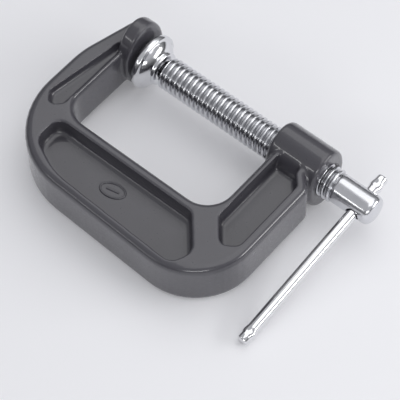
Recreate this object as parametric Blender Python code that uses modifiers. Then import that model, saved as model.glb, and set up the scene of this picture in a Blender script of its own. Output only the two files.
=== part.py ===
"""C clamp lying on its side, in metres, +Z up.

The screw axis is the X axis. The centre of the anvil face is the origin, and
the head of the screw is at +X. The back of the C is on the -Y side. The frame
is turned a few degrees about the screw axis, which is how it lies on a table:
on the undersides of the boss and the anvil, and on the edge of the back.
"""

import math

import bmesh
import bpy
from mathutils import Matrix, Vector

MM = 0.001

# ---- driving sizes ----------------------------------------------------------
THREAD_RADIUS = 8.0 * MM
THREAD_DEPTH = 1.35 * MM
PITCH = 25.4 / 9.0 * MM
THREAD_GAP = 0.4 * MM
FRAME_HALF_THICKNESS = 12.5 * MM
JAW_GAP = 2.3 * MM

# ---- frame ------------------------------------------------------------------
LOWEST_BACK_Y = -88.3 * MM
WEB_HALF_THICKNESS = 4.0 * MM
RIM_RADIUS = 3.2 * MM
POCKET_FLOOR_RADIUS = 2.2 * MM
CUT_PAST = 6.0 * MM
ARC_STEP = math.radians(14.0)
CURVE_ROUNDING_STEPS = 2
MERGE_DISTANCE = 0.01 * MM
SMOOTH_BELOW_DEGREES = 35.0

# outline corners of the casting: x, y, corner radius, in millimetres
FRAME_OUTLINE = (
    (-12.5, 8.0, 4.2),
    (-20.3, -22.0, 40.0),
    (-20.3, -83.5, 41.0),
    (109.4, -88.3, 31.0),
    (109.4, -16.0, 5.0),
    (103.5, -10.0, 4.2),
    (103.5, -3.0, 4.5),
    (84.2, -3.0, 4.5),
    (84.2, -52.3, 13.0),
    (-3.7, -52.3, 12.0),
    (-3.7, 8.0, 4.2),
)
BACK_POCKET = (
    (-2.0, -57.4, 6.0),
    (77.0, -57.4, 5.0),
    (91.0, -73.0, 7.0),
    (86.5, -82.9, 6.0),
    (16.0, -80.2, 40.0),
    (-2.0, -72.0, 8.0),
)
BOSS_ARM_POCKET = (
    (87.6, -8.0, 2.5),
    (87.6, -51.0, 4.0),
    (97.3, -62.5, 4.0),
    (104.3, -57.5, 5.0),
    (104.3, -17.5, 3.0),
    (99.5, -12.5, 2.5),
    (99.5, -8.0, 2.5),
)
ANVIL_ARM_POCKET = (
    (-7.4, -7.5, 2.0),
    (-11.6, -7.5, 2.0),
    (-16.0, -24.0, 20.0),
    (-16.0, -48.5, 3.5),
    (-10.5, -54.5, 3.5),
    (-7.4, -48.0, 3.0),
)

# ---- boss and anvil, both slightly oval castings ------------------------------
BOSS_INNER_X = 81.0 * MM
BOSS_OUTER_X = 108.0 * MM
BOSS_HALF_WIDTH = 12.4 * MM
BOSS_HALF_HEIGHT = 17.0 * MM
BOSS_EDGE_RADIUS = 2.0 * MM
ANVIL_THICKNESS = 7.0 * MM
ANVIL_HALF_WIDTH = 13.0 * MM
ANVIL_HALF_HEIGHT = 19.5 * MM
ANVIL_EDGE_RADIUS = 1.4 * MM
ANVIL_RISE = ANVIL_HALF_HEIGHT - BOSS_HALF_HEIGHT
FLARE_START_X = -13.5 * MM
FLARE_END_X = -5.5 * MM
FLARE_START_PART = 0.45
FLARE_END_PART = 0.96
OVAL_SIDES = 40
OVAL_EDGE_STEPS = 3
SHARP_EDGE_DEGREES = 50.0
BORE_CHAMFER = 1.2 * MM

# ---- screw ------------------------------------------------------------------
THREAD_STEPS = 20
THREAD_CREST_HALF = 0.125 * PITCH
THREAD_FLANK_END = 0.375 * PITCH
THREAD_START_X = 12.6 * MM
THREAD_END_X = 115.6 * MM
THREAD_RUNOUT = 1.3 * MM
ENVELOPE_PAST = 1.0 * MM
HEAD_RADIUS = 7.15 * MM
HEAD_SHOULDER = 1.3 * MM
HEAD_START_X = 113.6 * MM
CROSS_HOLE_X = 127.4 * MM
CROSS_HOLE_RADIUS = 3.4 * MM
NECK_RADIUS = 3.7 * MM
NECK_END_X = 15.2 * MM
GROOVE_RADIUS = 2.8 * MM
NOSE_RADIUS = 4.3 * MM
NOSE_TIP_X = 5.0 * MM
NOSE_SLOPE_RADIUS = 2.6 * MM
NOSE_SLOPE_X = 5.35 * MM
NOSE_EDGE_X = 6.4 * MM
GROOVE_START_X = 7.4 * MM
GROOVE_END_X = 9.0 * MM
TURNED_STEPS = 32

# domed end of the head: radius, x, in millimetres
HEAD_END = (
    (0.0, 136.0),
    (2.5, 135.88),
    (4.3, 135.63),
    (5.7, 135.26),
    (6.65, 134.8),
    (7.15, 133.0),
)

# ---- retaining ring -----------------------------------------------------------
RING_INNER_RADIUS = 3.1 * MM
RING_OUTER_RADIUS = 5.4 * MM
RING_START_X = 7.7 * MM
RING_END_X = 8.7 * MM
RING_GAP_WIDTH = 1.6 * MM

# ---- pad ----------------------------------------------------------------------
PAD_WALL = 2.2 * MM
PAD_SOCKET_RADIUS = 6.0 * MM
PAD_LIP_START = 7.7 * MM
PAD_LIP_RADIUS = 4.7 * MM
PAD_STEPS = 40

# outside of the pad, back to front: radius, distance behind its face, in mm
PAD_OUTSIDE = (
    (4.7, 9.2),
    (7.4, 9.2),
    (8.3, 8.3),
    (8.7, 7.0),
    (10.3, 5.3),
    (12.5, 4.0),
    (12.8, 3.4),
    (13.65, 3.2),
    (14.0, 2.5),
    (14.0, 0.9),
    (13.1, 0.0),
    (0.0, 0.0),
)

# ---- tommy bar ------------------------------------------------------------------
BAR_RADIUS = 2.8 * MM
BAR_SHORT_END = 16.2 * MM
BAR_LONG_END = 84.4 * MM
BAR_END_CHAMFER = 0.5 * MM
STAKE_FROM_END = 3.2 * MM
STAKE_LENGTH = 4.4 * MM
STAKE_WIDE = 3.8 * MM
STAKE_FLAT = 1.9 * MM
BAR_SIDES = 20


def clear_scene():
    for item in list(bpy.data.objects):
        bpy.data.objects.remove(item, do_unlink=True)


def make_collections():
    shown = bpy.data.collections.new("c_clamp")
    cutters = bpy.data.collections.new("cutters")
    bpy.context.scene.collection.children.link(shown)
    bpy.context.scene.collection.children.link(cutters)
    return shown, cutters


def add_object(name, mesh, collection):
    item = bpy.data.objects.new(name, mesh)
    collection.objects.link(item)
    return item


def hide_cutter(item):
    item.hide_render = True
    item.display_type = "WIRE"


def rounded_outline(corners):
    """Replace each (x, y, radius) corner, in mm, by points along its arc."""
    points = []
    count = len(corners)
    for index in range(count):
        here = Vector(corners[index][:2])
        before = Vector(corners[index - 1][:2])
        after = Vector(corners[(index + 1) % count][:2])
        to_before = (before - here).normalized()
        to_after = (after - here).normalized()
        half_angle = to_before.angle(to_after) / 2.0
        radius = corners[index][2]
        reach = radius / math.tan(half_angle)
        centre_distance = radius / math.sin(half_angle)
        centre = here + (to_before + to_after).normalized() * centre_distance
        start = here + to_before * reach - centre
        finish = here + to_after * reach - centre
        sweep = start.angle_signed(finish)
        steps = max(1, math.ceil(abs(sweep) / ARC_STEP))
        for step in range(steps + 1):
            turned = start.copy()
            turned.rotate(Matrix.Rotation(-sweep * step / steps, 2))
            points.append((centre + turned) * MM)
    return points


def plate_from_outline(name, points, low, high, edge_radius, collection):
    """Solid plate between two heights, with its edges rounded."""
    curve = bpy.data.curves.new(name, "CURVE")
    curve.dimensions = "2D"
    curve.fill_mode = "BOTH"
    curve.extrude = (high - low) / 2.0 - edge_radius
    curve.bevel_depth = edge_radius
    curve.bevel_resolution = CURVE_ROUNDING_STEPS
    curve.offset = -edge_radius
    spline = curve.splines.new("POLY")
    spline.points.add(len(points) - 1)
    for slot, point in zip(spline.points, points):
        slot.co = (point.x, point.y, 0.0, 1.0)
    spline.use_cyclic_u = True
    source = add_object(name + "_curve", curve, collection)
    source.location.z = (low + high) / 2.0
    return curve_to_mesh(source, name, collection)


def curve_to_mesh(source, name, collection):
    bpy.context.view_layer.update()
    graph = bpy.context.evaluated_depsgraph_get()
    mesh = bpy.data.meshes.new_from_object(source.evaluated_get(graph))
    mesh.name = name
    merged = bmesh.new()
    merged.from_mesh(mesh)
    bmesh.ops.remove_doubles(merged, verts=merged.verts, dist=MERGE_DISTANCE)
    bmesh.ops.recalc_face_normals(merged, faces=merged.faces)
    merged.to_mesh(mesh)
    merged.free()
    item = add_object(name, mesh, collection)
    item.matrix_world = source.matrix_world.copy()
    bpy.data.objects.remove(source, do_unlink=True)
    return item


def along_x(item, x=0.0):
    """Lay an object made round its own Z axis along the screw axis."""
    item.location = (x, 0.0, 0.0)
    item.rotation_euler = (0.0, math.radians(90.0), 0.0)


def turned_body(name, profile, steps, collection):
    """Turn (radius, height) points, top to bottom, into a closed body."""
    mesh = bpy.data.meshes.new(name)
    points = [(radius, 0.0, height) for radius, height in profile]
    edges = [(index, index + 1) for index in range(len(points) - 1)]
    mesh.from_pydata(points, edges, [])
    item = add_object(name, mesh, collection)
    spin = item.modifiers.new("turn", "SCREW")
    spin.steps = steps
    spin.render_steps = steps
    spin.use_merge_vertices = True
    spin.merge_threshold = MERGE_DISTANCE
    return item


def turned_ring(name, profile, steps, collection):
    """Turn a closed loop of (radius, height) points into a ring."""
    return turned_body(name, list(profile) + [profile[0]], steps, collection)


def apply_modifiers(item):
    bpy.context.view_layer.update()
    graph = bpy.context.evaluated_depsgraph_get()
    mesh = bpy.data.meshes.new_from_object(item.evaluated_get(graph))
    item.modifiers.clear()
    item.data = mesh


def combine(target, tool, operation):
    step = target.modifiers.new(operation.lower(), "BOOLEAN")
    step.operation = operation
    step.solver = "EXACT"
    step.object = tool


def oval_cone(name, start, end, half_width, half_height, rise, collection):
    """Oval body along X. start and end are (x, part of the full size)."""
    body = bmesh.new()
    bmesh.ops.create_cone(
        body,
        cap_ends=True,
        segments=OVAL_SIDES,
        radius1=start[1],
        radius2=end[1],
        depth=end[0] - start[0],
        matrix=Matrix.Rotation(math.radians(90.0), 4, "Y"),
    )
    bmesh.ops.scale(body, vec=(1.0, half_width, half_height), verts=body.verts)
    bmesh.ops.translate(body, vec=((start[0] + end[0]) / 2.0, 0.0, rise), verts=body.verts)
    mesh = bpy.data.meshes.new(name)
    body.to_mesh(mesh)
    body.free()
    item = add_object(name, mesh, collection)
    hide_cutter(item)
    return item


def round_edges(item, radius):
    rounding = item.modifiers.new("edges", "BEVEL")
    rounding.width = radius
    rounding.segments = OVAL_EDGE_STEPS
    rounding.limit_method = "ANGLE"
    rounding.angle_limit = math.radians(SHARP_EDGE_DEGREES)


def build_boss(cutters):
    ends = ((BOSS_INNER_X, 1.0), (BOSS_OUTER_X, 1.0))
    boss = oval_cone("boss", *ends, BOSS_HALF_WIDTH, BOSS_HALF_HEIGHT, 0.0, cutters)
    round_edges(boss, BOSS_EDGE_RADIUS)
    return boss


def build_anvil(cutters):
    """Anvil plate, and the flare that joins it to its arm."""
    size = (ANVIL_HALF_WIDTH, ANVIL_HALF_HEIGHT, ANVIL_RISE, cutters)
    plate = oval_cone("anvil", (-ANVIL_THICKNESS, 1.0), (0.0, 1.0), *size)
    round_edges(plate, ANVIL_EDGE_RADIUS)
    flare = oval_cone("flare", (FLARE_START_X, FLARE_START_PART), (FLARE_END_X, FLARE_END_PART), *size)
    return plate, flare


def thread_profile(extra):
    """One pitch of thread as (radius, height) points, top to bottom."""
    crest = THREAD_RADIUS + extra
    root = THREAD_RADIUS - THREAD_DEPTH + extra
    return [
        (root, PITCH / 2.0),
        (root, THREAD_FLANK_END),
        (crest, THREAD_CREST_HALF),
        (crest, -THREAD_CREST_HALF),
        (root, -THREAD_FLANK_END),
        (root, -PITCH / 2.0),
    ]


def helix_body(name, first_turn, turns, extra, collection):
    """Closed helical thread round Z. Turn 0 has a crest at height 0, angle 0."""
    mesh = bpy.data.meshes.new(name)
    shift = first_turn * PITCH
    points = [(radius, 0.0, height + shift) for radius, height in thread_profile(extra)]
    edges = [(index, index + 1) for index in range(len(points) - 1)]
    mesh.from_pydata(points, edges, [])
    item = add_object(name, mesh, collection)
    sweep = item.modifiers.new("thread", "SCREW")
    sweep.screw_offset = PITCH
    sweep.iterations = turns
    sweep.steps = THREAD_STEPS
    sweep.render_steps = THREAD_STEPS
    sweep.use_merge_vertices = True
    sweep.merge_threshold = MERGE_DISTANCE
    apply_modifiers(item)
    close_helix_ends(item.data)
    return item


def close_helix_ends(mesh):
    """Fan each open end of a helix to a point on its axis."""
    body = bmesh.new()
    body.from_mesh(mesh)
    bmesh.ops.remove_doubles(body, verts=body.verts, dist=MERGE_DISTANCE)
    middle = sum(vert.co.z for vert in body.verts) / len(body.verts)
    open_edges = [edge for edge in body.edges if edge.is_boundary]
    for side in (-1.0, 1.0):
        loop = []
        for edge in open_edges:
            height = (edge.verts[0].co.z + edge.verts[1].co.z) / 2.0
            if (height - middle) * side > 0.0:
                loop.append(edge)
        level = sum(edge.verts[0].co.z for edge in loop) / len(loop)
        tip = body.verts.new((0.0, 0.0, level))
        for edge in loop:
            body.faces.new((edge.verts[0], edge.verts[1], tip))
    bmesh.ops.recalc_face_normals(body, faces=body.faces)
    body.to_mesh(mesh)
    body.free()


def rest_tilt():
    """Angle at which the edge of the back lies level with the boss."""
    reach = -LOWEST_BACK_Y - RIM_RADIUS
    centre_depth = FRAME_HALF_THICKNESS - RIM_RADIUS
    distance = math.hypot(reach, centre_depth)
    drop = BOSS_HALF_HEIGHT - RIM_RADIUS
    return math.asin(drop / distance) - math.atan2(centre_depth, reach)


def bar_angle():
    """Angle at which the long end of the bar lies level with the boss."""
    return math.asin((BOSS_HALF_HEIGHT - BAR_RADIUS) / BAR_LONG_END)


def build_frame(shown, cutters):
    outline = rounded_outline(FRAME_OUTLINE)
    half = FRAME_HALF_THICKNESS
    frame = plate_from_outline("frame", outline, -half, half, RIM_RADIUS, shown)
    cut_pockets(frame, cutters)
    for item in (build_boss(cutters), *build_anvil(cutters)):
        combine(frame, item, "UNION")
    for item in cut_bore(cutters):
        combine(frame, item, "DIFFERENCE")
    apply_modifiers(frame)
    turn = Matrix.Rotation(rest_tilt(), 4, "X")
    frame.data.transform(turn @ frame.matrix_world)
    frame.matrix_world = Matrix.Identity(4)
    return frame


def cut_pockets(frame, cutters):
    """Recess both sides of the casting down to its web."""
    pockets = (BACK_POCKET, BOSS_ARM_POCKET, ANVIL_ARM_POCKET)
    top = FRAME_HALF_THICKNESS + CUT_PAST
    for number, corners in enumerate(pockets):
        outline = rounded_outline(corners)
        for side, low, high in (("top", WEB_HALF_THICKNESS, top), ("under", -top, -WEB_HALF_THICKNESS)):
            name = "pocket_%d_%s" % (number, side)
            cutter = plate_from_outline(name, outline, low, high, POCKET_FLOOR_RADIUS, cutters)
            hide_cutter(cutter)
            combine(frame, cutter, "DIFFERENCE")


def cut_bore(cutters):
    """Threaded hole through the boss, with a chamfer at each end."""
    first_turn = math.floor((BOSS_INNER_X - THREAD_START_X) / PITCH) - 1
    turns = math.ceil((BOSS_OUTER_X - BOSS_INNER_X) / PITCH) + 3
    bore = helix_body("bore", first_turn, turns, THREAD_GAP, cutters)
    along_x(bore, THREAD_START_X)
    hide_cutter(bore)
    mouth = THREAD_RADIUS + THREAD_GAP + BORE_CHAMFER / 2.0
    inner = mouth - BORE_CHAMFER * 2.0
    middle = (BOSS_INNER_X + BOSS_OUTER_X) / 2.0
    half = (BOSS_OUTER_X - BOSS_INNER_X) / 2.0
    profile = [
        (0.0, half + BORE_CHAMFER),
        (mouth + BORE_CHAMFER, half + BORE_CHAMFER),
        (inner, half - BORE_CHAMFER * 2.0),
        (inner, BORE_CHAMFER * 2.0 - half),
        (mouth + BORE_CHAMFER, -half - BORE_CHAMFER),
        (0.0, -half - BORE_CHAMFER),
    ]
    chamfer = turned_body("bore_chamfer", profile, TURNED_STEPS, cutters)
    along_x(chamfer, middle)
    hide_cutter(chamfer)
    return bore, chamfer


def build_screw(shown, cutters):
    origin = THREAD_START_X
    root = THREAD_RADIUS - THREAD_DEPTH
    outer = THREAD_RADIUS + ENVELOPE_PAST
    turns = math.ceil((THREAD_END_X - THREAD_START_X) / PITCH) + 3
    screw = helix_body("screw", -1, turns, 0.0, shown)
    along_x(screw, origin)
    envelope = turned_body(
        "thread_ends",
        [
            (0.0, THREAD_END_X - origin),
            (root - ENVELOPE_PAST, THREAD_END_X - origin),
            (outer, THREAD_END_X - origin - THREAD_RUNOUT - ENVELOPE_PAST),
            (outer, THREAD_RUNOUT + ENVELOPE_PAST),
            (root - ENVELOPE_PAST, 0.0),
            (0.0, 0.0),
        ],
        TURNED_STEPS,
        cutters,
    )
    along_x(envelope, origin)
    hide_cutter(envelope)
    combine(screw, envelope, "INTERSECT")
    for item in (screw_head(cutters), screw_neck(cutters)):
        hide_cutter(item)
        combine(screw, item, "UNION")
    combine(screw, cross_hole(cutters), "DIFFERENCE")
    apply_modifiers(screw)
    return screw


def screw_head(cutters):
    """Plain end that takes the bar, with a domed face."""
    profile = [(radius * MM, x * MM) for radius, x in HEAD_END]
    profile += [(HEAD_RADIUS, HEAD_START_X + HEAD_SHOULDER)]
    profile += [(HEAD_RADIUS - THREAD_DEPTH, HEAD_START_X), (0.0, HEAD_START_X)]
    head = turned_body("head", profile, TURNED_STEPS, cutters)
    along_x(head)
    return head


def screw_neck(cutters):
    """Neck with the ring's groove, and the round nose that bears on the pad."""
    profile = [
        (0.0, NECK_END_X),
        (NECK_RADIUS, NECK_END_X),
        (NECK_RADIUS, GROOVE_END_X),
        (GROOVE_RADIUS, GROOVE_END_X),
        (GROOVE_RADIUS, GROOVE_START_X),
        (NOSE_RADIUS, GROOVE_START_X),
        (NOSE_RADIUS, NOSE_EDGE_X),
        (NOSE_SLOPE_RADIUS, NOSE_SLOPE_X),
        (0.0, NOSE_TIP_X),
    ]
    neck = turned_body("neck", profile, TURNED_STEPS, cutters)
    along_x(neck)
    return neck


def cross_hole(cutters):
    depth = HEAD_RADIUS + CUT_PAST
    profile = [(0.0, depth), (CROSS_HOLE_RADIUS, depth), (CROSS_HOLE_RADIUS, -depth), (0.0, -depth)]
    hole = turned_body("cross_hole", profile, TURNED_STEPS, cutters)
    hole.location = (CROSS_HOLE_X, 0.0, 0.0)
    hole.rotation_euler = (bar_angle() - math.radians(90.0), 0.0, 0.0)
    hide_cutter(hole)
    return hole


def build_ring(shown, cutters):
    profile = [
        (RING_INNER_RADIUS, RING_END_X),
        (RING_OUTER_RADIUS, RING_END_X),
        (RING_OUTER_RADIUS, RING_START_X),
        (RING_INNER_RADIUS, RING_START_X),
    ]
    ring = turned_ring("retaining_ring", profile, TURNED_STEPS, shown)
    along_x(ring)
    mesh = bpy.data.meshes.new("ring_gap")
    body = bmesh.new()
    bmesh.ops.create_cube(body, size=1.0)
    size = (RING_GAP_WIDTH, RING_OUTER_RADIUS * 2.0, RING_OUTER_RADIUS)
    bmesh.ops.scale(body, vec=size, verts=body.verts)
    body.to_mesh(mesh)
    body.free()
    gap = add_object("ring_gap", mesh, cutters)
    gap.rotation_euler = (0.0, math.radians(90.0), 0.0)
    gap.location = ((RING_START_X + RING_END_X) / 2.0, RING_OUTER_RADIUS, 0.0)
    hide_cutter(gap)
    combine(ring, gap, "DIFFERENCE")
    apply_modifiers(ring)
    return ring


def build_pad(shown):
    """Swivel pad: flat front, rounded rim, cone to a collar, socket behind."""
    socket = [
        (0.0, JAW_GAP + PAD_WALL),
        (PAD_SOCKET_RADIUS, JAW_GAP + PAD_WALL),
        (PAD_SOCKET_RADIUS, JAW_GAP + PAD_LIP_START),
        (PAD_LIP_RADIUS, JAW_GAP + PAD_LIP_START),
    ]
    outside = [(radius * MM, JAW_GAP + behind * MM) for radius, behind in PAD_OUTSIDE]
    pad = turned_body("pad", socket + outside, PAD_STEPS, shown)
    along_x(pad)
    apply_modifiers(pad)
    centre = Vector((NOSE_EDGE_X, 0.0, 0.0))
    pad.data.transform(Matrix.Translation(-centre) @ pad.matrix_basis)
    pad.matrix_basis = Matrix.Translation(centre)
    return pad


def build_bar(shown):
    """Round bar with both ends squeezed flat one way and wide the other."""
    rows = []
    for end, sign in ((BAR_SHORT_END, 1.0), (-BAR_LONG_END, -1.0)):
        far = end - sign * STAKE_FROM_END
        near = far - sign * STAKE_LENGTH
        slope = sign * STAKE_LENGTH / 3.0
        rows.append((end, BAR_RADIUS - BAR_END_CHAMFER, BAR_RADIUS - BAR_END_CHAMFER))
        rows.append((end - sign * BAR_END_CHAMFER, BAR_RADIUS, BAR_RADIUS))
        rows.append((far, BAR_RADIUS, BAR_RADIUS))
        rows.append((far - slope, STAKE_WIDE, STAKE_FLAT))
        rows.append((near + slope, STAKE_WIDE, STAKE_FLAT))
        rows.append((near, BAR_RADIUS, BAR_RADIUS))
    rows.sort()
    body = bmesh.new()
    rings = []
    for height, wide, flat in rows:
        ring = []
        for side in range(BAR_SIDES):
            angle = math.tau * side / BAR_SIDES
            ring.append(body.verts.new((wide * math.cos(angle), flat * math.sin(angle), height)))
        rings.append(ring)
    for low, high in zip(rings, rings[1:]):
        for side in range(BAR_SIDES):
            after = (side + 1) % BAR_SIDES
            body.faces.new((low[side], low[after], high[after], high[side]))
    body.faces.new(list(reversed(rings[0])))
    body.faces.new(rings[-1])
    mesh = bpy.data.meshes.new("tommy_bar")
    body.to_mesh(mesh)
    body.free()
    bar = add_object("tommy_bar", mesh, shown)
    bar.location = (CROSS_HOLE_X, 0.0, 0.0)
    bar.rotation_euler = (bar_angle() - math.radians(90.0), 0.0, 0.0)
    return bar


def smooth_round(item, limit_degrees):
    item.data.shade_smooth()
    item.data.set_sharp_from_angle(angle=math.radians(limit_degrees))


def principled(name, colour, metallic, roughness):
    material = bpy.data.materials.new(name)
    material.use_nodes = True
    shader = material.node_tree.nodes["Principled BSDF"]
    shader.inputs["Base Color"].default_value = (*colour, 1.0)
    shader.inputs["Metallic"].default_value = metallic
    shader.inputs["Roughness"].default_value = roughness
    material.diffuse_color = (*colour, 1.0)
    return material


def grey_enamel():
    return principled("grey_enamel", (0.105, 0.102, 0.115), 0.0, 0.35)


def bright_zinc():
    return principled("bright_zinc", (0.72, 0.73, 0.75), 1.0, 0.22)


def pad_plating():
    return principled("pad_plating", (0.74, 0.75, 0.77), 1.0, 0.18)


def bar_plating():
    return principled("bar_plating", (0.76, 0.76, 0.78), 1.0, 0.12)


def spring_steel():
    return principled("spring_steel", (0.30, 0.30, 0.32), 1.0, 0.35)


def main():
    clear_scene()
    shown, cutters = make_collections()
    pieces = (
        (build_frame(shown, cutters), grey_enamel()),
        (build_screw(shown, cutters), bright_zinc()),
        (build_ring(shown, cutters), spring_steel()),
        (build_pad(shown), pad_plating()),
        (build_bar(shown), bar_plating()),
    )
    for item, material in pieces:
        item.data.materials.clear()
        item.data.materials.append(material)
        smooth_round(item, SMOOTH_BELOW_DEGREES)


main()
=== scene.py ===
"""Looks, light and camera for the C clamp, in metres, +Z up."""

import math

import bmesh
import bpy
from mathutils import Matrix, Vector


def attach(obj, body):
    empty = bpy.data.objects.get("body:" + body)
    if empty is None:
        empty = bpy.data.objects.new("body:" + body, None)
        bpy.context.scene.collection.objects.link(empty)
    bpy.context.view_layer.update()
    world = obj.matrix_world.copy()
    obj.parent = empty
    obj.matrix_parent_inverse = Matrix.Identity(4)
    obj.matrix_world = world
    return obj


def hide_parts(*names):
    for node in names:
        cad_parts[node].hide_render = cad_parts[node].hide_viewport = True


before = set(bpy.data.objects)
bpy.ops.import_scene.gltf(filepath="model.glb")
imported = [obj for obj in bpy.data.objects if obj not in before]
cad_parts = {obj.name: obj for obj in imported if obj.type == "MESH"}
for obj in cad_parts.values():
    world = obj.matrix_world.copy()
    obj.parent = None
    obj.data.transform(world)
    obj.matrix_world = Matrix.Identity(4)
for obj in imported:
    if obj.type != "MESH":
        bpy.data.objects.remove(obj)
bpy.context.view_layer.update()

MM = 0.001
FLOOR_Z = -17.0 * MM
REST_TILT = math.radians(3.04)
BAR_ANGLE = math.radians(9.6859)
MERGE = 0.005 * MM
ARC_STEP = math.radians(7.0)
SHARP_EDGE = math.radians(50.0)

# ---- casting: outline corners as x, y, corner radius in millimetres ----------
OUTLINE = (
    (-12.5, 8.0, 4.5), (-20.3, -22.0, 40.0), (-20.3, -83.5, 41.0), (109.4, -88.3, 31.0),
    (109.4, -16.0, 5.0), (103.5, -10.0, 4.2), (103.5, -3.0, 4.5), (84.2, -3.0, 4.5),
    (84.2, -52.3, 13.0), (-3.7, -52.3, 12.0), (-3.7, 8.0, 4.5),
)
BACK_POCKET = (
    (-2.0, -57.4, 6.0), (77.0, -57.4, 5.0), (91.0, -73.0, 7.0),
    (86.5, -82.9, 6.0), (16.0, -80.2, 40.0), (-2.0, -72.0, 8.0),
)
BOSS_ARM_POCKET = (
    (87.6, -8.0, 2.5), (87.6, -51.0, 4.0), (97.3, -62.5, 4.0), (104.3, -57.5, 5.0),
    (104.3, -17.5, 3.0), (99.5, -12.5, 2.5), (99.5, -8.0, 2.5),
)
ANVIL_ARM_POCKET = (
    (-5.4, -7.5, 2.0), (-9.0, -7.5, 1.5), (-15.2, -48.5, 3.0), (-10.5, -55.0, 3.0), (-5.4, -49.5, 2.5),
)
HALF_THICKNESS = 12.5 * MM
WEB_HALF = 4.0 * MM
ARM_WEB_HALF = 8.2 * MM
RIM_RADIUS = 3.2 * MM
FLOOR_RADIUS = 2.4 * MM
BOSS_START_X = 81.0 * MM
BOSS_END_X = 108.0 * MM
BOSS_SIZE = (12.4 * MM, 17.0 * MM, 0.0)
ANVIL_SIZE = (13.0 * MM, 19.5 * MM, 2.5 * MM)
ANVIL_START_X = -7.0 * MM
BOSS_EDGE_RADIUS = 1.6 * MM
ANVIL_EDGE_RADIUS = 1.2 * MM
FLARE_START = (-13.5 * MM, 0.45)
FLARE_END = (-5.5 * MM, 0.96)
OVAL_SIDES = 96
OVAL_EDGE_STEPS = 5
CUT_PAST = 8.0 * MM
THREAD_GAP = 0.4 * MM
BORE_TURNS = 14
BORE_STEPS = 40
SOFTEN_STEPS = 7
OUTER_MOUTH = ((0.0, 109.7), (10.7, 109.7), (6.5, 105.5), (0.0, 105.5))
INNER_MOUTH = ((0.0, 83.5), (6.5, 83.5), (10.7, 79.3), (0.0, 79.3))
VOXEL = 0.55 * MM

# ---- cast mark: half sizes of the oval and its bar in millimetres ------------
MARK_PLACE = (39.5 * MM, -67.5 * MM, WEB_HALF - 0.05 * MM)
MARK_TURN = math.radians(12.0)
MARK_RADIUS = 0.55 * MM
MARK_OVAL = (6.2, 3.6)
MARK_BAR = 3.2
MARK_STEPS = 48

# ---- screw: profile points are radius, x in millimetres ----------------------
THREAD_RADIUS = 8.0 * MM
THREAD_DEPTH = 1.35 * MM
PITCH = 25.4 / 9.0 * MM
# parts of a pitch from the crest's middle
THREAD_ROWS = (0.5, 0.42, 0.37, 0.32, 0.27, 0.22, 0.17, 0.12, 0.0)
FLANK_END = 0.42
FLANK_LENGTH = 0.30
# painted shade in the thread roots: the radius where it fades out, and how dark it gets
ROOT_SHADE_TOP = THREAD_RADIUS - 0.45 * MM
ROOT_SHADE_STRENGTH = 0.5
THREAD_START_X = 12.6 * MM
THREAD_END_X = 115.6 * MM
THREAD_ENVELOPE = ((0.0, 115.6), (5.6, 115.6), (9.0, 113.0), (9.0, 15.2), (5.6, 12.6), (0.0, 12.6))
CROSS_HOLE_X = 127.4 * MM
CROSS_HOLE = ((0.0, 13.0), (3.4, 13.0), (3.4, -13.0), (0.0, -13.0))
HOLE_RIM = 0.35 * MM
HOLE_STEPS = 48
TURNED_STEPS = 64
FINE_STEPS = 96
HEAD_PROFILE = (
    (0.0, 136.0), (1.8, 135.95), (3.6, 135.8), (5.0, 135.5), (5.9, 135.1), (6.5, 134.6), (6.9, 133.9),
    (7.1, 133.1), (7.15, 132.3), (7.15, 131.0), (7.15, 116.0), (7.1, 115.0), (6.7, 114.2), (5.8, 113.6),
    (0.0, 113.6),
)
NECK_PROFILE = (
    (0.0, 15.2), (3.7, 15.2), (3.7, 9.0), (2.8, 9.0), (2.8, 7.4),
    (4.3, 7.4), (4.3, 6.4), (3.6, 5.8), (2.6, 5.35), (1.3, 5.08), (0.0, 5.0),
)

# ---- pad: radius, x, back to front, then the socket --------------------------
PAD_PROFILE = (
    (0.0, 4.5), (6.0, 4.5), (6.0, 10.0), (4.7, 10.0), (4.7, 11.3), (4.9, 11.5), (7.4, 11.5),
    (8.0, 11.4), (8.4, 11.1), (8.55, 10.7), (8.5, 10.3), (8.3, 10.0), (8.3, 9.8), (8.6, 9.5),
    (9.4, 9.0), (10.3, 8.3), (11.1, 7.5), (11.7, 6.8), (12.1, 6.2), (12.25, 5.9), (12.5, 5.75),
    (13.1, 5.65), (13.6, 5.4), (13.9, 4.95), (14.0, 4.4), (14.0, 3.5), (13.9, 2.95), (13.6, 2.5),
    (13.1, 2.3), (11.0, 2.3), (0.0, 2.3),
)

# ---- bar: distance along it, half size one way, half size the other ----------
BAR_STAKE = (
    (0.0, 1.9, 1.9), (0.15, 2.3, 2.3), (0.45, 2.62, 2.62), (0.9, 2.8, 2.8), (3.0, 2.8, 2.8),
    (3.4, 2.85, 2.77), (4.0, 3.02, 2.62), (4.7, 3.2, 2.45), (5.4, 3.26, 2.4), (6.1, 3.2, 2.45),
    (6.8, 3.02, 2.62), (7.4, 2.85, 2.77), (8.0, 2.8, 2.8),
)
BAR_SHORT_END = 16.2
BAR_LONG_END = 84.4
BAR_SIDES = 48


def add_object(name, mesh):
    item = bpy.data.objects.new(name, mesh)
    bpy.context.scene.collection.objects.link(item)
    return item


def evaluated_mesh(item):
    bpy.context.view_layer.update()
    graph = bpy.context.evaluated_depsgraph_get()
    return bpy.data.meshes.new_from_object(item.evaluated_get(graph))


def bake(item):
    """Turn an object's modifiers and its place into plain vertices."""
    mesh = evaluated_mesh(item)
    mesh.transform(item.matrix_world)
    item.modifiers.clear()
    item.data = mesh
    item.matrix_world = Matrix.Identity(4)
    return item


def remove(item):
    bpy.data.objects.remove(item, do_unlink=True)


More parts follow.
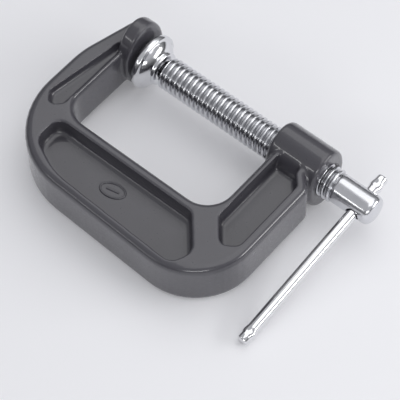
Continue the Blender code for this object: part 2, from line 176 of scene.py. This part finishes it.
def rounded_outline(corners):
    """Replace each (x, y, radius) corner, in millimetres, by points along its arc."""
    points = []
    count = len(corners)
    for index in range(count):
        here = Vector(corners[index][:2])
        to_before = (Vector(corners[index - 1][:2]) - here).normalized()
        to_after = (Vector(corners[(index + 1) % count][:2]) - here).normalized()
        half_angle = to_before.angle(to_after) / 2.0
        radius = corners[index][2]
        centre = here + (to_before + to_after).normalized() * (radius / math.sin(half_angle))
        start = here + to_before * (radius / math.tan(half_angle)) - centre
        finish = here + to_after * (radius / math.tan(half_angle)) - centre
        sweep = start.angle_signed(finish)
        steps = max(1, math.ceil(abs(sweep) / ARC_STEP))
        for step in range(steps + 1):
            turned = start.copy()
            turned.rotate(Matrix.Rotation(-sweep * step / steps, 2))
            points.append((centre + turned) * MM)
    return points


def plate(name, corners, low, high, edge_radius):
    curve = bpy.data.curves.new(name, "CURVE")
    curve.dimensions = "2D"
    curve.fill_mode = "BOTH"
    curve.extrude = (high - low) / 2.0 - edge_radius
    curve.bevel_depth = edge_radius
    curve.bevel_resolution = 4
    curve.offset = -edge_radius
    points = rounded_outline(corners)
    spline = curve.splines.new("POLY")
    spline.points.add(len(points) - 1)
    for slot, point in zip(spline.points, points):
        slot.co = (point.x, point.y, 0.0, 1.0)
    spline.use_cyclic_u = True
    source = add_object(name + "_curve", curve)
    source.location.z = (low + high) / 2.0
    mesh = evaluated_mesh(source)
    mesh.transform(source.matrix_world)
    remove(source)
    weld(mesh)
    return add_object(name, mesh)


def weld(mesh):
    body = bmesh.new()
    body.from_mesh(mesh)
    bmesh.ops.remove_doubles(body, verts=body.verts, dist=MERGE)
    bmesh.ops.recalc_face_normals(body, faces=body.faces)
    body.to_mesh(mesh)
    body.free()


def oval(name, start, end, size, edge_radius):
    """Oval body along X. start and end are (x, part of the full size)."""
    half_width, half_height, rise = size
    body = bmesh.new()
    turn = Matrix.Rotation(math.radians(90.0), 4, "Y")
    depth = end[0] - start[0]
    bmesh.ops.create_cone(
        body,
        cap_ends=True,
        segments=OVAL_SIDES,
        radius1=start[1],
        radius2=end[1],
        depth=depth,
        matrix=turn,
    )
    bmesh.ops.scale(body, vec=(1.0, half_width, half_height), verts=body.verts)
    bmesh.ops.translate(body, vec=((start[0] + end[0]) / 2.0, 0.0, rise), verts=body.verts)
    mesh = bpy.data.meshes.new(name)
    body.to_mesh(mesh)
    body.free()
    item = add_object(name, mesh)
    if edge_radius > 0.0:
        rounding = item.modifiers.new("edges", "BEVEL")
        rounding.width = edge_radius
        rounding.segments = OVAL_EDGE_STEPS
        rounding.limit_method = "ANGLE"
        rounding.angle_limit = SHARP_EDGE
    return bake(item)


def combine(target, tools, operation):
    for tool in tools:
        step = target.modifiers.new("step", "BOOLEAN")
        step.operation = operation
        step.solver = "EXACT"
        step.object = tool
    bake(target)
    for tool in tools:
        remove(tool)
    return target


def quick_combine(target, steps):
    """Boolean steps on dense closed meshes, in order."""
    for tool, operation in steps:
        step = target.modifiers.new("step", "BOOLEAN")
        step.operation = operation
        step.solver = "MANIFOLD"
        step.object = tool
    bake(target)
    for tool, _ in steps:
        remove(tool)


def lathe(name, profile, steps):
    """Turn (radius, x) points in millimetres round the screw's axis."""
    mesh = bpy.data.meshes.new(name)
    points = [(radius * MM, 0.0, x * MM) for radius, x in profile]
    edges = [(index, index + 1) for index in range(len(points) - 1)]
    mesh.from_pydata(points, edges, [])
    item = add_object(name, mesh)
    spin = item.modifiers.new("turn", "SCREW")
    spin.steps = steps
    spin.render_steps = steps
    spin.use_merge_vertices = True
    spin.merge_threshold = MERGE
    item.rotation_euler = (0.0, math.radians(90.0), 0.0)
    return bake(item)


def thread_radius(part):
    """Radius at a part of a pitch from -0.5 to 0.5, crest in the middle."""
    rise = min(1.0, max(0.0, (FLANK_END - abs(part)) / FLANK_LENGTH))
    return THREAD_RADIUS - THREAD_DEPTH + THREAD_DEPTH * rise * rise * (3.0 - 2.0 * rise)


def helix(name, first_turn, turns, extra, start_x, steps):
    """Closed right-hand thread along X. extra is added to its radius."""
    rows = list(THREAD_ROWS) + [-row for row in reversed(THREAD_ROWS[:-1])]
    mesh = bpy.data.meshes.new(name)
    points = [(thread_radius(row) + extra, 0.0, (row + first_turn) * PITCH) for row in rows]
    edges = [(index, index + 1) for index in range(len(points) - 1)]
    mesh.from_pydata(points, edges, [])
    item = add_object(name, mesh)
    sweep = item.modifiers.new("thread", "SCREW")
    sweep.screw_offset = PITCH
    sweep.iterations = turns
    sweep.steps = steps
    sweep.render_steps = steps
    sweep.use_merge_vertices = True
    sweep.merge_threshold = MERGE
    bake(item)
    close_ends(item.data)
    item.rotation_euler = (0.0, math.radians(90.0), 0.0)
    item.location.x = start_x
    return bake(item)


def close_ends(mesh):
    body = bmesh.new()
    body.from_mesh(mesh)
    bmesh.ops.remove_doubles(body, verts=body.verts, dist=MERGE)
    middle = sum(vert.co.z for vert in body.verts) / len(body.verts)
    open_edges = [edge for edge in body.edges if edge.is_boundary]
    for side in (-1.0, 1.0):
        loop = [edge for edge in open_edges if (edge.verts[0].co.z - middle) * side > 0.0]
        level = sum(edge.verts[0].co.z for edge in loop) / len(loop)
        tip = body.verts.new((0.0, 0.0, level))
        for edge in loop:
            body.faces.new((edge.verts[0], edge.verts[1], tip))
    bmesh.ops.recalc_face_normals(body, faces=body.faces)
    body.to_mesh(mesh)
    body.free()


def smooth(item, degrees):
    item.data.shade_smooth()
    item.data.set_sharp_from_angle(angle=math.radians(degrees))


# ---- pieces ------------------------------------------------------------------
def build_casting():
    """The frame with every cast edge softened."""
    half = HALF_THICKNESS
    casting = plate("cast_frame", OUTLINE, -half, half, RIM_RADIUS)
    cutters = []
    past = half + CUT_PAST
    pockets = ((BACK_POCKET, WEB_HALF), (BOSS_ARM_POCKET, WEB_HALF), (ANVIL_ARM_POCKET, ARM_WEB_HALF))
    for corners, web in pockets:
        for low, high in ((web, past), (-past, -web)):
            cutters.append(plate("pocket", corners, low, high, FLOOR_RADIUS))
    combine(casting, cutters, "DIFFERENCE")
    boss = oval("boss", (BOSS_START_X, 1.0), (BOSS_END_X, 1.0), BOSS_SIZE, BOSS_EDGE_RADIUS)
    anvil = oval("anvil", (ANVIL_START_X, 1.0), (0.0, 1.0), ANVIL_SIZE, ANVIL_EDGE_RADIUS)
    flare = oval("flare", FLARE_START, FLARE_END, ANVIL_SIZE, 0.0)
    combine(casting, [boss, anvil, flare], "UNION")
    remesh = casting.modifiers.new("skin", "REMESH")
    remesh.mode = "VOXEL"
    remesh.voxel_size = VOXEL
    soften = casting.modifiers.new("soften", "SMOOTH")
    soften.factor = 0.5
    soften.iterations = SOFTEN_STEPS
    bake(casting)
    first_turn = math.floor((BOSS_START_X - THREAD_START_X) / PITCH) - 1
    bore = helix("bore", first_turn, BORE_TURNS, THREAD_GAP, THREAD_START_X, BORE_STEPS)
    cutters = [bore] + [lathe("mouth", profile, TURNED_STEPS) for profile in (OUTER_MOUTH, INNER_MOUTH)]
    quick_combine(casting, [(tool, "DIFFERENCE") for tool in cutters])
    casting.data.transform(Matrix.Rotation(REST_TILT, 4, "X"))
    smooth(casting, 40.0)
    return casting


def build_mark():
    """Plain raised oval with a bar across it, cast on the web."""
    turns = [math.tau * index / MARK_STEPS for index in range(MARK_STEPS)]
    oval_loop = [(MARK_OVAL[0] * math.cos(turn), MARK_OVAL[1] * math.sin(turn)) for turn in turns]
    loops = [oval_loop, [(-MARK_BAR, 0.0), (MARK_BAR, 0.0)]]
    curve = bpy.data.curves.new("cast_mark", "CURVE")
    curve.dimensions = "3D"
    curve.bevel_depth = MARK_RADIUS
    curve.bevel_resolution = 4
    curve.use_fill_caps = True
    for loop in loops:
        spline = curve.splines.new("POLY")
        spline.points.add(len(loop) - 1)
        spline.use_cyclic_u = len(loop) > 2
        for slot, (x, y) in zip(spline.points, loop):
            slot.co = (x * MM, y * MM, 0.0, 1.0)
    source = add_object("cast_mark_curve", curve)
    mesh = evaluated_mesh(source)
    remove(source)
    place = Matrix.Translation(MARK_PLACE) @ Matrix.Rotation(MARK_TURN, 4, "Z")
    mesh.transform(Matrix.Rotation(REST_TILT, 4, "X") @ place)
    mark = add_object("cast_mark", mesh)
    smooth(mark, 50.0)
    return mark


def build_screw():
    turns = math.ceil((THREAD_END_X - THREAD_START_X) / PITCH) + 3
    screw = helix("clamp_screw", -1, turns, 0.0, THREAD_START_X, TURNED_STEPS)
    envelope = lathe("ends", THREAD_ENVELOPE, TURNED_STEPS)
    head = lathe("head", HEAD_PROFILE, FINE_STEPS)
    hole = lathe("hole", CROSS_HOLE, HOLE_STEPS)
    hole.data.transform(Matrix.Rotation(math.radians(-90.0), 4, "Y"))
    hole.data.transform(Matrix.Rotation(BAR_ANGLE - math.radians(90.0), 4, "X"))
    hole.data.transform(Matrix.Translation((CROSS_HOLE_X, 0.0, 0.0)))
    combine(head, [hole], "DIFFERENCE")
    rim = head.modifiers.new("rim", "BEVEL")
    rim.width = HOLE_RIM
    rim.segments = 3
    rim.limit_method = "ANGLE"
    rim.angle_limit = math.radians(45.0)
    bake(head)
    neck = lathe("neck", NECK_PROFILE, TURNED_STEPS)
    quick_combine(screw, [(envelope, "INTERSECT"), (head, "UNION"), (neck, "UNION")])
    smooth(screw, 38.0)
    return screw


def build_pad():
    pad = lathe("swivel_pad", PAD_PROFILE, FINE_STEPS)
    smooth(pad, 50.0)
    return pad


def build_bar():
    rows = []
    for along, wide, flat in BAR_STAKE:
        rows.append((BAR_SHORT_END - along, wide, flat))
        rows.append((along - BAR_LONG_END, wide, flat))
    rows.sort()
    body = bmesh.new()
    rings = []
    for height, wide, flat in rows:
        ring = []
        for side in range(BAR_SIDES):
            angle = math.tau * side / BAR_SIDES
            point = (wide * math.cos(angle), flat * math.sin(angle), height)
            ring.append(body.verts.new(Vector(point) * MM))
        rings.append(ring)
    for low, high in zip(rings, rings[1:]):
        for side in range(BAR_SIDES):
            after = (side + 1) % BAR_SIDES
            body.faces.new((low[side], low[after], high[after], high[side]))
    body.faces.new(list(reversed(rings[0])))
    body.faces.new(rings[-1])
    mesh = bpy.data.meshes.new("sliding_bar")
    body.to_mesh(mesh)
    body.free()
    mesh.transform(Matrix.Rotation(BAR_ANGLE - math.radians(90.0), 4, "X"))
    mesh.transform(Matrix.Translation((CROSS_HOLE_X, 0.0, 0.0)))
    bar = add_object("sliding_bar", mesh)
    smooth(bar, 50.0)
    return bar


# ---- materials ---------------------------------------------------------------
def new_material(name):
    material = bpy.data.materials.new(name)
    material.use_nodes = True
    return material, material.node_tree.nodes, material.node_tree.links


def noise(nodes, links, place, scale, detail, roughness=0.5):
    node = nodes.new("ShaderNodeTexNoise")
    node.inputs["Scale"].default_value = scale
    node.inputs["Detail"].default_value = detail
    node.inputs["Roughness"].default_value = roughness
    links.new(place, node.inputs["Vector"])
    return node.outputs["Fac"]


def ramp(nodes, links, value, low, high, low_value, high_value):
    node = nodes.new("ShaderNodeMapRange")
    node.inputs["From Min"].default_value = low
    node.inputs["From Max"].default_value = high
    node.inputs["To Min"].default_value = low_value
    node.inputs["To Max"].default_value = high_value
    links.new(value, node.inputs["Value"])
    return node.outputs["Result"]


def mix_colour(nodes, links, factor, first, second):
    node = nodes.new("ShaderNodeMix")
    node.data_type = "RGBA"
    links.new(factor, node.inputs["Factor"])
    for socket, colour in ((node.inputs[6], first), (node.inputs[7], second)):
        if isinstance(colour, tuple):
            socket.default_value = (*colour, 1.0)
        else:
            links.new(colour, socket)
    return node.outputs[2]


def bump(nodes, links, height, distance, strength, normal=None):
    node = nodes.new("ShaderNodeBump")
    node.inputs["Distance"].default_value = distance
    node.inputs["Strength"].default_value = strength
    links.new(height, node.inputs["Height"])
    if normal is not None:
        links.new(normal, node.inputs["Normal"])
    return node.outputs["Normal"]


def enamel():
    """Glossy dark grey paint over a slightly uneven casting."""
    material, nodes, links = new_material("grey_enamel_fine")
    shader = nodes["Principled BSDF"]
    place = nodes.new("ShaderNodeTexCoord").outputs["Object"]
    cloud = noise(nodes, links, place, 45.0, 3.0)
    grain = noise(nodes, links, place, 900.0, 4.0)
    peel = noise(nodes, links, place, 260.0, 2.0)
    base = mix_colour(nodes, links, cloud, (0.046, 0.044, 0.054), (0.060, 0.058, 0.070))
    edge = nodes.new("ShaderNodeNewGeometry").outputs["Pointiness"]
    worn = ramp(nodes, links, edge, 0.53, 0.62, 0.0, 0.35)
    colour = mix_colour(nodes, links, worn, base, (0.12, 0.117, 0.130))
    links.new(colour, shader.inputs["Base Color"])
    links.new(ramp(nodes, links, grain, 0.3, 0.7, 0.27, 0.40), shader.inputs["Roughness"])
    shader.inputs["Specular IOR Level"].default_value = 0.5
    shader.inputs["Coat Weight"].default_value = 0.8
    shader.inputs["Coat Roughness"].default_value = 0.07
    first = bump(nodes, links, peel, 0.00012, 0.35)
    links.new(bump(nodes, links, grain, 0.00003, 0.35, first), shader.inputs["Normal"])
    return material


def plated(name, colour, dull, low, high, lengthwise):
    """Bright plate with fine marks drawn out along or round the piece."""
    material, nodes, links = new_material(name)
    shader = nodes["Principled BSDF"]
    place = nodes.new("ShaderNodeTexCoord").outputs["Object"]
    drawn = nodes.new("ShaderNodeMapping")
    drawn.inputs["Scale"].default_value = lengthwise
    links.new(place, drawn.inputs["Vector"])
    marks = noise(nodes, links, drawn.outputs["Vector"], 700.0, 4.0, 0.6)
    cloud = noise(nodes, links, place, 120.0, 3.0)
    links.new(mix_colour(nodes, links, cloud, colour, dull), shader.inputs["Base Color"])
    shader.inputs["Metallic"].default_value = 1.0
    links.new(ramp(nodes, links, marks, 0.3, 0.7, low, high), shader.inputs["Roughness"])
    links.new(bump(nodes, links, marks, 0.00002, 0.25), shader.inputs["Normal"])
    return material


def paint_root_shade(material):
    """Painted shade in the bottom of the thread, bright metal left on its crests."""
    nodes = material.node_tree.nodes
    links = material.node_tree.links
    shader = nodes["Principled BSDF"]
    bright = shader.inputs["Base Color"].links[0].from_socket
    place = nodes.new("ShaderNodeTexCoord").outputs["Object"]
    across = nodes.new("ShaderNodeVectorMath")
    across.operation = "MULTIPLY"
    across.inputs[1].default_value = (0.0, 1.0, 1.0)
    links.new(place, across.inputs[0])
    radius = nodes.new("ShaderNodeVectorMath")
    radius.operation = "LENGTH"
    links.new(across.outputs["Vector"], radius.inputs[0])
    level = radius.outputs["Value"]
    root = THREAD_RADIUS - THREAD_DEPTH
    depth = ramp(nodes, links, level, root, ROOT_SHADE_TOP, ROOT_SHADE_STRENGTH, 0.0)
    along = nodes.new("ShaderNodeSeparateXYZ")
    links.new(place, along.inputs["Vector"])
    threaded = ramp(nodes, links, along.outputs["X"], THREAD_END_X, THREAD_END_X - 1.0 * MM, 0.0, 1.0)
    share = nodes.new("ShaderNodeMath")
    share.operation = "MULTIPLY"
    links.new(depth, share.inputs[0])
    links.new(threaded, share.inputs[1])
    # dark grey mixed in as painted shade towards the thread roots
    dark = mix_colour(nodes, links, share.outputs["Value"], bright, (0.10, 0.10, 0.11))
    links.new(dark, shader.inputs["Base Color"])


def give(item, material, slot_name, body, *nodes):
    item.data.materials.clear()
    item.data.materials.append(material)
    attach(item, body)
    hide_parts(*nodes)


# colour, dull colour, roughness from and to, stretch of the marks
ZINC = ((0.80, 0.80, 0.82), (0.62, 0.63, 0.66), 0.14, 0.26, (1.0, 1.0, 1.0))
PAD_PLATING = ((0.84, 0.84, 0.86), (0.70, 0.71, 0.73), 0.10, 0.20, (1.0, 1.0, 1.0))
BAR_PLATING = ((0.84, 0.84, 0.85), (0.74, 0.74, 0.76), 0.06, 0.14, (1.0, 0.15, 1.0))
SPRING_STEEL = ((0.34, 0.34, 0.36), (0.26, 0.26, 0.28), 0.25, 0.4, (1.0, 1.0, 1.0))


def dress():
    zinc = plated("bright_zinc_fine", *ZINC)
    # painted shade in the screw's thread roots
    paint_root_shade(zinc)
    pad_metal = plated("pad_plating_fine", *PAD_PLATING)
    bar_metal = plated("bar_plating_fine", *BAR_PLATING)
    ring_metal = plated("spring_steel_fine", *SPRING_STEEL)
    give(build_casting(), enamel(), "grey_enamel", "frame", "frame")
    give(build_screw(), zinc, "bright_zinc", "screw", "screw")
    give(build_pad(), pad_metal, "pad_plating", "pad", "pad")
    give(build_bar(), bar_metal, "bar_plating", "tommy_bar", "tommy_bar")
    mark = build_mark()
    mark.data.materials.append(bpy.data.materials["grey_enamel_fine"])
    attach(mark, "frame")
    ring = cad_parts["retaining_ring"]
    ring.data.materials.clear()
    ring.data.materials.append(ring_metal)


# ---- studio ------------------------------------------------------------------
MIDDLE = (0.05, -0.04, 0.0)
FLOOR_HALF_SIZE = 3.0
# name, place, width and height, watts
SOFT_BOXES = (
    ("overhead", (0.22, 0.08, 0.85), (0.7, 0.7), 1.5),
    ("back", (-0.20, 0.42, 0.72), (0.8, 0.5), 1.1),
    ("left", (-0.36, -0.85, 0.40), (0.5, 0.06), 0.5),
    ("front", (0.60, -0.68, 0.36), (0.5, 0.10), 1.3),
    ("right", (0.80, 0.40, 0.35), (0.7, 0.16), 3.2),
)
CAMERA_AZIMUTH = math.radians(48.421)
CAMERA_ELEVATION = math.radians(57.39)
CAMERA_ROLL = math.radians(-1.61)
CAMERA_DISTANCE = 0.8275
CAMERA_TARGET = (0.07097, -0.04456, 0.0)
CAMERA_LENS = 166.77
SENSOR_WIDTH = 36.0
NEAREST_SEEN = 0.01


def add_floor():
    mesh = bpy.data.meshes.new("floor")
    signs = ((-1, -1), (1, -1), (1, 1), (-1, 1))
    corners = [(x * FLOOR_HALF_SIZE, y * FLOOR_HALF_SIZE, 0.0) for x, y in signs]
    mesh.from_pydata(corners, [], [(0, 1, 2, 3)])
    floor = add_object("floor", mesh)
    floor.location.z = FLOOR_Z
    material, nodes, links = new_material("pale_sheet")
    shader = nodes["Principled BSDF"]
    shader.inputs["Base Color"].default_value = (0.74, 0.74, 0.76, 1.0)
    shader.inputs["Roughness"].default_value = 0.6
    shader.inputs["Emission Color"].default_value = (0.97, 0.97, 1.0, 1.0)
    shader.inputs["Emission Strength"].default_value = 0.15
    mesh.materials.append(material)


def add_area(name, location, size, power):
    """Soft box that faces the middle of the clamp."""
    lamp = bpy.data.lights.new(name, "AREA")
    lamp.shape = "RECTANGLE"
    lamp.size = size[0]
    lamp.size_y = size[1]
    lamp.energy = power
    item = bpy.data.objects.new(name, lamp)
    item.location = location
    aim = Vector(MIDDLE) - Vector(location)
    item.rotation_euler = aim.to_track_quat("-Z", "Y").to_euler()
    bpy.context.scene.collection.objects.link(item)


def add_studio():
    world = bpy.data.worlds.new("studio")
    bpy.context.scene.world = world
    world.use_nodes = True
    nodes = world.node_tree.nodes
    links = world.node_tree.links
    place = nodes.new("ShaderNodeTexCoord").outputs["Generated"]
    parts = nodes.new("ShaderNodeSeparateXYZ")
    links.new(place, parts.inputs["Vector"])
    sky = nodes["Background"]
    links.new(ramp(nodes, links, parts.outputs["Z"], 0.02, 0.60, 0.05, 0.50), sky.inputs["Strength"])
    sky.inputs["Color"].default_value = (0.95, 0.96, 1.0, 1.0)
    for name, location, size, power in SOFT_BOXES:
        add_area(name, location, size, power)


def add_camera():
    """Long lens looking down at the clamp from beyond its back corner."""
    level = Vector((-math.cos(CAMERA_AZIMUTH), math.sin(CAMERA_AZIMUTH), 0.0))
    drop = Vector((0.0, 0.0, math.sin(CAMERA_ELEVATION)))
    ahead = level * math.cos(CAMERA_ELEVATION) - drop
    right = ahead.cross(Vector((0.0, 0.0, 1.0))).normalized()
    above = right.cross(ahead)
    side = right * math.cos(CAMERA_ROLL) + above * math.sin(CAMERA_ROLL)
    top = above * math.cos(CAMERA_ROLL) - right * math.sin(CAMERA_ROLL)
    eye = Vector(CAMERA_TARGET) - ahead * CAMERA_DISTANCE
    place = Matrix((side, top, -ahead)).transposed().to_4x4()
    place.translation = eye
    lens = bpy.data.cameras.new("camera")
    lens.lens = CAMERA_LENS
    lens.sensor_width = SENSOR_WIDTH
    lens.clip_start = NEAREST_SEEN
    camera = bpy.data.objects.new("camera", lens)
    camera.matrix_world = Matrix.Rotation(REST_TILT, 4, "X") @ place
    bpy.context.scene.collection.objects.link(camera)
    bpy.context.scene.camera = camera


dress()
add_floor()
add_studio()
add_camera()
bpy.context.scene.view_settings.view_transform = "Standard"
